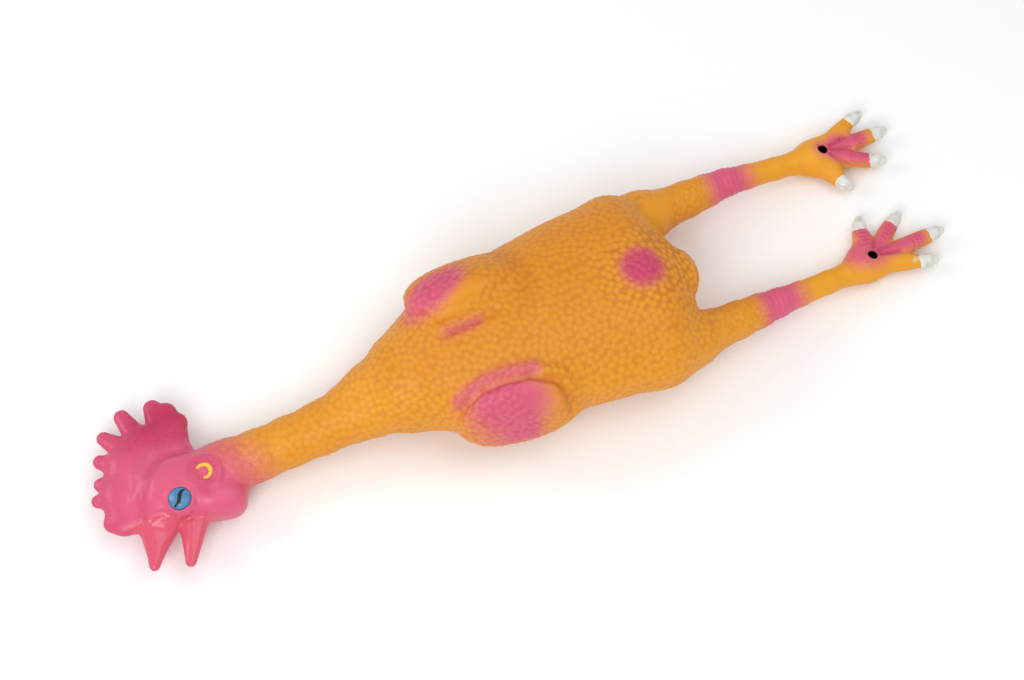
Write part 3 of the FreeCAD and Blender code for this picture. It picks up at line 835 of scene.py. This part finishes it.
def skin_material():
    made, parts, wires, shader = material("sprayed_vinyl")

    def number(name):
        node = parts.new("ShaderNodeAttribute")
        node.attribute_name = name
        return node.outputs["Fac"]

    def compute(*what):
        return math_node(parts, wires, *what)

    def mixed(factor, first, second):
        return mix_colour(parts, wires, factor, first, second)

    place = parts.new("ShaderNodeAttribute")
    place.attribute_name = "rest_place"

    def noise(scale, detail):
        node = parts.new("ShaderNodeTexNoise")
        node.inputs["Scale"].default_value = scale
        node.inputs["Detail"].default_value = detail
        wires.new(place.outputs["Vector"], node.inputs["Vector"])
        return node.outputs["Fac"]

    mist, cloud = noise(900.0, 2.0), noise(28.0, 2.0)

    def sprayed(amount, spread):
        """Roughens the edge of a spray: full and empty stay, and the fade gets grainy."""
        grain = compute("MULTIPLY", compute("SUBTRACT", mist, 0.5), spread)
        fade = compute("MULTIPLY", amount, compute("SUBTRACT", 1.0, amount))
        return compute("ADD", amount, compute("MULTIPLY", compute("MULTIPLY", grain, fade), 4.0), True)

    # painted shade: the valleys between the beads are darker, in orange and in pink, partly also the paint
    # catching less there than on the bead tops
    bead_valley_shade = compute("SUBTRACT", 1.0, number("bead"))
    pimpled_here = compute("MAXIMUM", number("pimple_coarse"), number("pimple_fine"))
    bead_valley_shade = compute("MULTIPLY", bead_valley_shade, pimpled_here)
    colour = mixed(compute("MULTIPLY", cloud, 0.5), ORANGE, DEEP_ORANGE)
    # painted shade: darker orange on the top of the trunk, in the saddle behind the wings and along the folds
    colour = mixed(sprayed(number("shade"), 0.7), colour, DEEP_ORANGE)
    colour = mixed(compute("MULTIPLY", bead_valley_shade, 0.6), colour, VALLEY_SHADE_ORANGE)
    pink = mixed(compute("MULTIPLY", bead_valley_shade, 0.35), PINK, VALLEY_SHADE_PINK)
    colour = mixed(sprayed(number("pink"), 1.1), colour, pink)
    colour = mixed(sprayed(number("crimson"), 0.8), colour, CRIMSON)
    colour = mixed(sprayed(number("beak"), 0.5), colour, CORAL)
    colour = mixed(sprayed(number("worn"), 1.1), colour, PALE_ORANGE)
    # painted shade: near black inside the air holes
    colour = mixed(number("hollow"), colour, (0.012, 0.008, 0.007))
    wires.new(colour, shader.inputs["Base Color"])
    gloss = number("gloss")
    satin = compute("ADD", compute("MULTIPLY", cloud, 0.10), 0.40)
    shine = compute("ADD", compute("MULTIPLY", gloss, 0.13), compute("MULTIPLY", number("beak"), 0.18))
    wires.new(compute("SUBTRACT", satin, shine), shader.inputs["Roughness"])
    shader.inputs["Specular IOR Level"].default_value = 0.35
    bump = parts.new("ShaderNodeBump")
    bump.inputs["Strength"].default_value = 0.08
    bump.inputs["Distance"].default_value = 0.0004
    wires.new(mist, bump.inputs["Height"])
    wires.new(bump.outputs["Normal"], shader.inputs["Normal"])
    return made


vinyl = skin_material()
print("paints:", "orange", ORANGE, "pink", PINK, "crimson", CRIMSON)

# %% Grow the beads and folds, and keep the result as a plain mesh
modifier = skin.modifiers.new("pimples", "NODES")
modifier.node_group = tree
modifier[socket_ids["Skin"]] = vinyl
modifier[socket_ids["Seed"]] = 7
bpy.context.view_layer.update()
evaluated = skin.evaluated_get(bpy.context.evaluated_depsgraph_get())
grown = bpy.data.meshes.new_from_object(evaluated)
skin.modifiers.remove(modifier)
skin.data = grown
bead = read(grown.attributes["bead"].data, "value", 1)
print("share of the skin on beads: %.2f" % (bead > 0.1).mean())

# %% [markdown]
# ## Cutting the skin into pieces
# One skin can bend across one joint at a time, so it is cut wherever a zone is stiff between two
# joints. Both sides of such a cut follow the same body, so the cut never opens. Each piece is
# capped, and it keeps the whole skin's normals, so the light shows no line at the cut either.

# %% The cuts
HIP_BLEND = (50.0, 84.0)  # along a slanted line through each hip, in millimetres
SLANT = math.radians(40)
NECK_CUTS = (neck_base[0] + 18, neck_base[0] - 22, neck_middle[0] - 20)
THIGH_CUT = 88.0
SHANK_CUT = 135.0


def slanted(side):
    """The direction in which a hip's blend runs: outwards and towards the feet."""
    return np.array([math.cos(SLANT), SIDES[side] * math.sin(SLANT), 0.0])


work = bmesh.new()
work.from_mesh(skin.data)
cut_planes = [((x, 0, 0), (1, 0, 0), (-1e3, 1e3)) for x in (*NECK_CUTS, THIGH_CUT, SHANK_CUT)]
for side in SIDES:
    own_side = sorted((0, SIDES[side] * 1e3))
    cut_planes.append((slanted(side) * (HIP_BLEND[0] - 2), slanted(side), own_side))
for place, direction, (y_low, y_high) in cut_planes:
    place, direction = Vector(place) * MM, Vector(direction)
    near = []
    for face in work.faces:
        middle_of_face = face.calc_center_median()
        if abs((middle_of_face - place).dot(direction)) < 0.004:
            if y_low * MM < middle_of_face.y < y_high * MM:
                near.append(face)
    edges, corners = {edge for face in near for edge in face.edges}, {v for face in near for v in face.verts}
    geometry = [*near, *edges, *corners]
    bmesh.ops.bisect_plane(work, geom=geometry, dist=1e-6, plane_co=place, plane_no=direction)
work.to_mesh(skin.data)
work.free()
skin.data.update()
print(len(cut_planes), "cuts through the skin")

# %% Label the faces and split them
PIECES = ["skin_trunk", "skin_neck_base", "skin_neck_middle", "skin_head"]
PIECES += ["skin_%s_%s" % (part, side) for side in SIDES for part in ("hip", "hock", "foot")]
whole = skin.data
centres = read(whole.polygons, "center") / MM
labels = np.zeros(len(centres), int)
for number_of_cut, x in enumerate(NECK_CUTS):
    labels[centres[:, 0] < x] = number_of_cut + 1
for number_of_side, side in enumerate(SIDES):
    mine = centres[:, 1] * SIDES[side] > 0
    outside = mine & (centres @ slanted(side) > HIP_BLEND[0] - 2) & (centres[:, 0] > 0)
    first_label = 4 + 3 * number_of_side
    labels[outside] = first_label
    labels[outside & (centres[:, 0] > THIGH_CUT)] = first_label + 1
    labels[outside & (centres[:, 0] > SHANK_CUT)] = first_label + 2
memory = whole.attributes.new("whole_normal", "FLOAT_VECTOR", "POINT")
memory.data.foreach_set("vector", read(whole.vertices, "normal").ravel())


def split_off(label, name):
    """A closed piece with the faces of one label, capped where the skin was cut."""
    made = bmesh.new()
    made.from_mesh(whole)
    made.faces.ensure_lookup_table()
    bmesh.ops.delete(made, geom=[made.faces[i] for i in np.nonzero(labels != label)[0]], context="FACES")
    loops = []
    waiting = {edge for edge in made.edges if edge.is_boundary}
    while waiting:
        loop, front = [], [waiting.pop()]
        while front:
            edge = front.pop()
            loop.append(edge)
            for vertex in edge.verts:
                for other in vertex.link_edges:
                    if other in waiting:
                        waiting.remove(other)
                        front.append(other)
        loops.append(loop)
    for loop in loops:
        rim = {vertex for edge in loop for vertex in edge.verts}
        hub = made.verts.new(sum((vertex.co for vertex in rim), Vector()) / len(rim))
        for edge in loop:
            a, b = edge.link_loops[0].vert, edge.link_loops[0].link_loop_next.vert
            made.faces.new((b, a, hub))
    mesh = bpy.data.meshes.new(name)
    made.to_mesh(mesh)
    made.free()
    normals = read(mesh.attributes["whole_normal"].data, "vector")
    mesh.attributes.remove(mesh.attributes["whole_normal"])
    mesh.polygons.foreach_set("use_smooth", [True] * len(mesh.polygons))
    mesh.normals_split_custom_set_from_vertices([tuple(normal) for normal in normals])
    mesh.materials.clear()
    mesh.materials.append(vinyl)
    piece = bpy.data.objects.new(name, mesh)
    scene.collection.objects.link(piece)
    return piece


skins = {name: split_off(label, name) for label, name in enumerate(PIECES)}
bpy.data.objects.remove(skin)
for name, piece in skins.items():
    print(name, len(piece.data.polygons), "faces")

# %% [markdown]
# ## What each skin piece follows
# A piece either rides one body, like the trunk, or bends from one body to the next across a joint,
# like the neck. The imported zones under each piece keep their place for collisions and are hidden.

# %% Bodies and replaced zones
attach(skins["skin_trunk"], "trunk")
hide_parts("body_shell", "wing_left", "wing_right", "rump")
NECK_PIECES = [
    ("skin_neck_base", "trunk", "lower_neck", neck_base[0] + 16, neck_base[0] - 16, ["neck_lower"]),
    ("skin_neck_middle", "lower_neck", "upper_neck", neck_middle[0] + 16, neck_middle[0] - 16,
     ["neck_upper"]),
    ("skin_head", "upper_neck", "head", neck_top[0] + 14, neck_top[0] - 14,
     ["head_shell", "nape", "comb", "upper_beak", "lower_beak", "cheek_lobe_left", "cheek_lobe_right"])]
for name, before, after, start_x, end_x, zones in NECK_PIECES:
    start, end = (tuple(np.array([x, neck_base[1], neck_base[2]]) * MM) for x in (start_x, end_x))
    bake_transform(skins[name], before, after, start, end)
    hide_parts(*zones)
for side, leg in LEGS.items():
    hip, hock, foot = (skins["skin_%s_%s" % (part, side)] for part in ("hip", "hock", "foot"))
    height = np.array([0, 0, leg["hip"][2]])
    start, end = (tuple((slanted(side) * place + height) * MM) for place in HIP_BLEND)
    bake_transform(hip, "trunk", "thigh_" + side, start, end)
    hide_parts("thigh_" + side)
    reach = np.array([13.0, 0, 0])
    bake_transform(hock, "thigh_" + side, "shank_" + side, tuple((leg["hock"] - reach) * MM),
             tuple((leg["hock"] + reach) * MM))
    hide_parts("shank_" + side)
    reach = np.array([8.0, 0, 0])
    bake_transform(foot, "shank_" + side, "foot_" + side, tuple((leg["ankle"] - reach) * MM),
             tuple((leg["ankle"] + reach) * MM))
    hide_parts("foot_" + side, *["toe_%s_%s" % (side, toe) for toe in TOES])

# %% [markdown]
# ## Claws
# The claws are dipped in off-white paint. They are blunt and a little flattened, and the hind ones
# hook a little. They are small, so each is grown on a finer grid of its own.

# %% Claw paint and claws
def worn_paint(name, colour, worn_colour, roughness):
    """A brushed paint: the colour varies a little and thins to a second colour in places."""
    made, parts, wires, shader = material(name)
    place = parts.new("ShaderNodeTexCoord")
    cloud = parts.new("ShaderNodeTexNoise")
    cloud.inputs["Scale"].default_value = 260.0
    cloud.inputs["Detail"].default_value = 4.0
    wires.new(place.outputs["Object"], cloud.inputs["Vector"])
    spread = parts.new("ShaderNodeMapRange")
    spread.inputs["From Min"].default_value = 0.45
    spread.inputs["From Max"].default_value = 0.75
    wires.new(cloud.outputs["Fac"], spread.inputs["Value"])
    mixed = mix_colour(parts, wires, spread.outputs["Result"], colour, worn_colour)
    wires.new(mixed, shader.inputs["Base Color"])
    shader.inputs["Roughness"].default_value = roughness
    bump = parts.new("ShaderNodeBump")
    bump.inputs["Strength"].default_value = 0.15
    bump.inputs["Distance"].default_value = 0.0002
    wires.new(cloud.outputs["Fac"], bump.inputs["Height"])
    wires.new(bump.outputs["Normal"], shader.inputs["Normal"])
    return made


claw_paint = worn_paint("off_white_claw_paint", (0.72, 0.71, 0.66), (0.52, 0.50, 0.46), 0.38)


def make_claw(side, toe):
    middle_of_claw, run = claw_places[side, toe]
    across = np.array([-run[1], run[0], 0.0])
    hook = across * (1.5 if toe == "hind" else 0.0) * SIDES[side]
    root, tip = middle_of_claw - run * 4.2, middle_of_claw + run * 3.6 + hook
    root[2], tip[2] = middle_of_claw[2] + 0.6, middle_of_claw[2] - 0.2
    belly = (root + tip) / 2
    steps = [("join", bar(root, belly, 4.6, 4.3, FLATNESS), 1.0),
             ("join", bar(belly, tip, 4.3, 2.9, FLATNESS), 0.5), ("keep", table_top, 0.8)]
    claw = mesh_object("claw_tip_%s_%s" % (side, toe), *grow(steps, 0.4))
    claw.data.materials.append(claw_paint)
    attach(claw, "foot_" + side)
    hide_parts("claw_%s_%s" % (side, toe))
    return claw


claws = [make_claw(side, toe) for side in SIDES for toe in TOES]
print(len(claws), "claws with", sum(len(claw.data.polygons) for claw in claws), "faces")

# %% [markdown]
# ## Eyes and ears
# Each eye is a disc of blue paint with a slanted black slit, and a yellow crescent is brushed in
# each ear. Paint follows the surface, so each patch is a thin flat shape that is dropped onto the
# head from its own side, and it stands only a fraction of a millimetre above the skin.

# %% Paint patches on the head
graph = bpy.context.evaluated_depsgraph_get()
head_surface = BVHTree.FromObject(skins["skin_head"], graph)
PATCH_THICKNESS = 0.9


def paint_patch(name, offset_rings, face, lift_mm, finish, surface=head_surface):
    """A closed thin patch through rings of offsets from the skull, the first ring being the edge."""
    rows = []
    for number_of_ring, ring in enumerate(offset_rings):
        row = []
        for x, y in ring:
            from_above = Vector(tuple(on_head((x, y), face * 60) * MM))
            hit = surface.ray_cast(from_above, Vector((0, 0, -face)))[0]
            rise = lift_mm * (0.35 if number_of_ring == 0 else 1.0)
            row.append(np.array(hit) / MM + (0, 0, face * rise))
        rows.append(row)
    ring_size = len(rows[0])
    below = [point - (0, 0, face * PATCH_THICKNESS) for point in rows[0]]
    points = below + [point for row in rows for point in row]
    faces = []
    for k in range(len(rows)):
        this_ring, next_ring = k * ring_size, (k + 1) * ring_size
        for i in range(ring_size):
            j = (i + 1) % ring_size
            faces.append((this_ring + i, this_ring + j, next_ring + j, next_ring + i))
    for first, turned in ((0, True), (len(rows) * ring_size, False)):
        for i in range(ring_size // 2 - 1):
            across = (first + i, first + i + 1, first + ring_size - 2 - i, first + ring_size - 1 - i)
            faces.append(across[::-1] if turned else across)
    patch = mesh_object(name, np.array(points), faces)
    patch.data.materials.append(finish)
    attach(patch, "head")
    return patch


def oval_rings(centre, half_sizes, turn, shrinks):
    """Rings of one oval, each smaller than the one before."""
    cosine, sine = math.cos(math.radians(turn)), math.sin(math.radians(turn))
    rings = []
    for shrink in shrinks:
        ring = []
        for step in range(48):
            angle = 2 * math.pi * step / 48
            a, b = half_sizes[0] * shrink * math.cos(angle), half_sizes[1] * shrink * math.sin(angle)
            ring.append((centre[0] + a * cosine - b * sine, centre[1] + a * sine + b * cosine))
        rings.append(ring)
    return rings


def stroke_rings(path, half_widths):
    """One ring round a brush stroke along a path: out on one side and back on the other."""
    path = [np.array(point, float) for point in path]
    left_side, right_side = [], []
    for i, (point, half_width) in enumerate(zip(path, half_widths)):
        along = path[min(i + 1, len(path) - 1)] - path[max(i - 1, 0)]
        across = np.array([-along[1], along[0]]) / np.linalg.norm(along)
        left_side.append(tuple(point + across * half_width))
        right_side.append(tuple(point - across * half_width))
    outer = left_side + right_side[::-1]
    middle_line = path + path[::-1]
    inner = [tuple(np.array(edge) * 0.55 + centre * 0.45) for edge, centre in zip(outer, middle_line)]
    return [outer, inner]


def arc(centre, radius, first, last, count=13):
    """Points on an arc, in degrees."""
    angles = np.radians(np.linspace(first, last, count))
    return [(centre[0] + radius * math.cos(a), centre[1] + radius * math.sin(a)) for a in angles]


EYE_HALF_SIZES, EYE_TURN = (6.7, 6.3), 25
iris_paint = worn_paint("blue_eye_paint", (0.055, 0.205, 0.40), (0.075, 0.27, 0.50), 0.22)
pupil_paint = worn_paint("black_pupil_paint", (0.006, 0.006, 0.008), (0.014, 0.013, 0.015), 0.25)
rim_paint = worn_paint("dark_rim_paint", (0.018, 0.055, 0.13), (0.03, 0.08, 0.18), 0.3)
ear_paint = worn_paint("yellow_ear_paint", (0.86, 0.50, 0.045), (0.80, 0.40, 0.05), 0.3)
slit_shares = np.linspace(-1, 1, 15)
slit = [(EYE[0] + 4.9 * s - 0.6 * math.sin(math.pi * s), EYE[1] + 4.0 * s + 0.8 * math.sin(math.pi * s))
        for s in slit_shares]
slit_widths = [0.3 + 0.95 * math.cos(s * math.pi / 2) ** 0.7 for s in slit_shares]
crescent = arc((EAR[0] + 0.6, EAR[1]), 4.1, 142, -112)
crescent_widths = [0.75 + 0.5 * math.sin(math.pi * i / 12) for i in range(13)]
for side, face in (("left", 1), ("right", -1)):
    eye_side = "left" if zone("eye_left")[2][2] * face > SKULL[2] * face else "right"
    rim_rings = oval_rings(EYE, np.array(EYE_HALF_SIZES) + 0.4, EYE_TURN, (1, 0.97, 0.9, 0.6))
    paint_patch("eye_rim_" + side, rim_rings, face, 0.3, rim_paint)
    iris_rings = oval_rings(EYE, EYE_HALF_SIZES, EYE_TURN, (1, 0.96, 0.85, 0.7, 0.5, 0.3, 0.1))
    iris = paint_patch("iris_" + side, iris_rings, face, 0.55, iris_paint)
    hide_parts("eye_" + eye_side)
    iris_faces = [polygon.vertices for polygon in iris.data.polygons]
    iris_surface = BVHTree.FromPolygons([vertex.co for vertex in iris.data.vertices], iris_faces)
    pupil = stroke_rings(slit, slit_widths)
    paint_patch("pupil_" + side, pupil, face, 0.15, pupil_paint, iris_surface)
    ear = stroke_rings(crescent, crescent_widths)
    paint_patch("ear_crescent_" + side, ear, face, 0.25, ear_paint)
print("eyes and ears on both sides of the head")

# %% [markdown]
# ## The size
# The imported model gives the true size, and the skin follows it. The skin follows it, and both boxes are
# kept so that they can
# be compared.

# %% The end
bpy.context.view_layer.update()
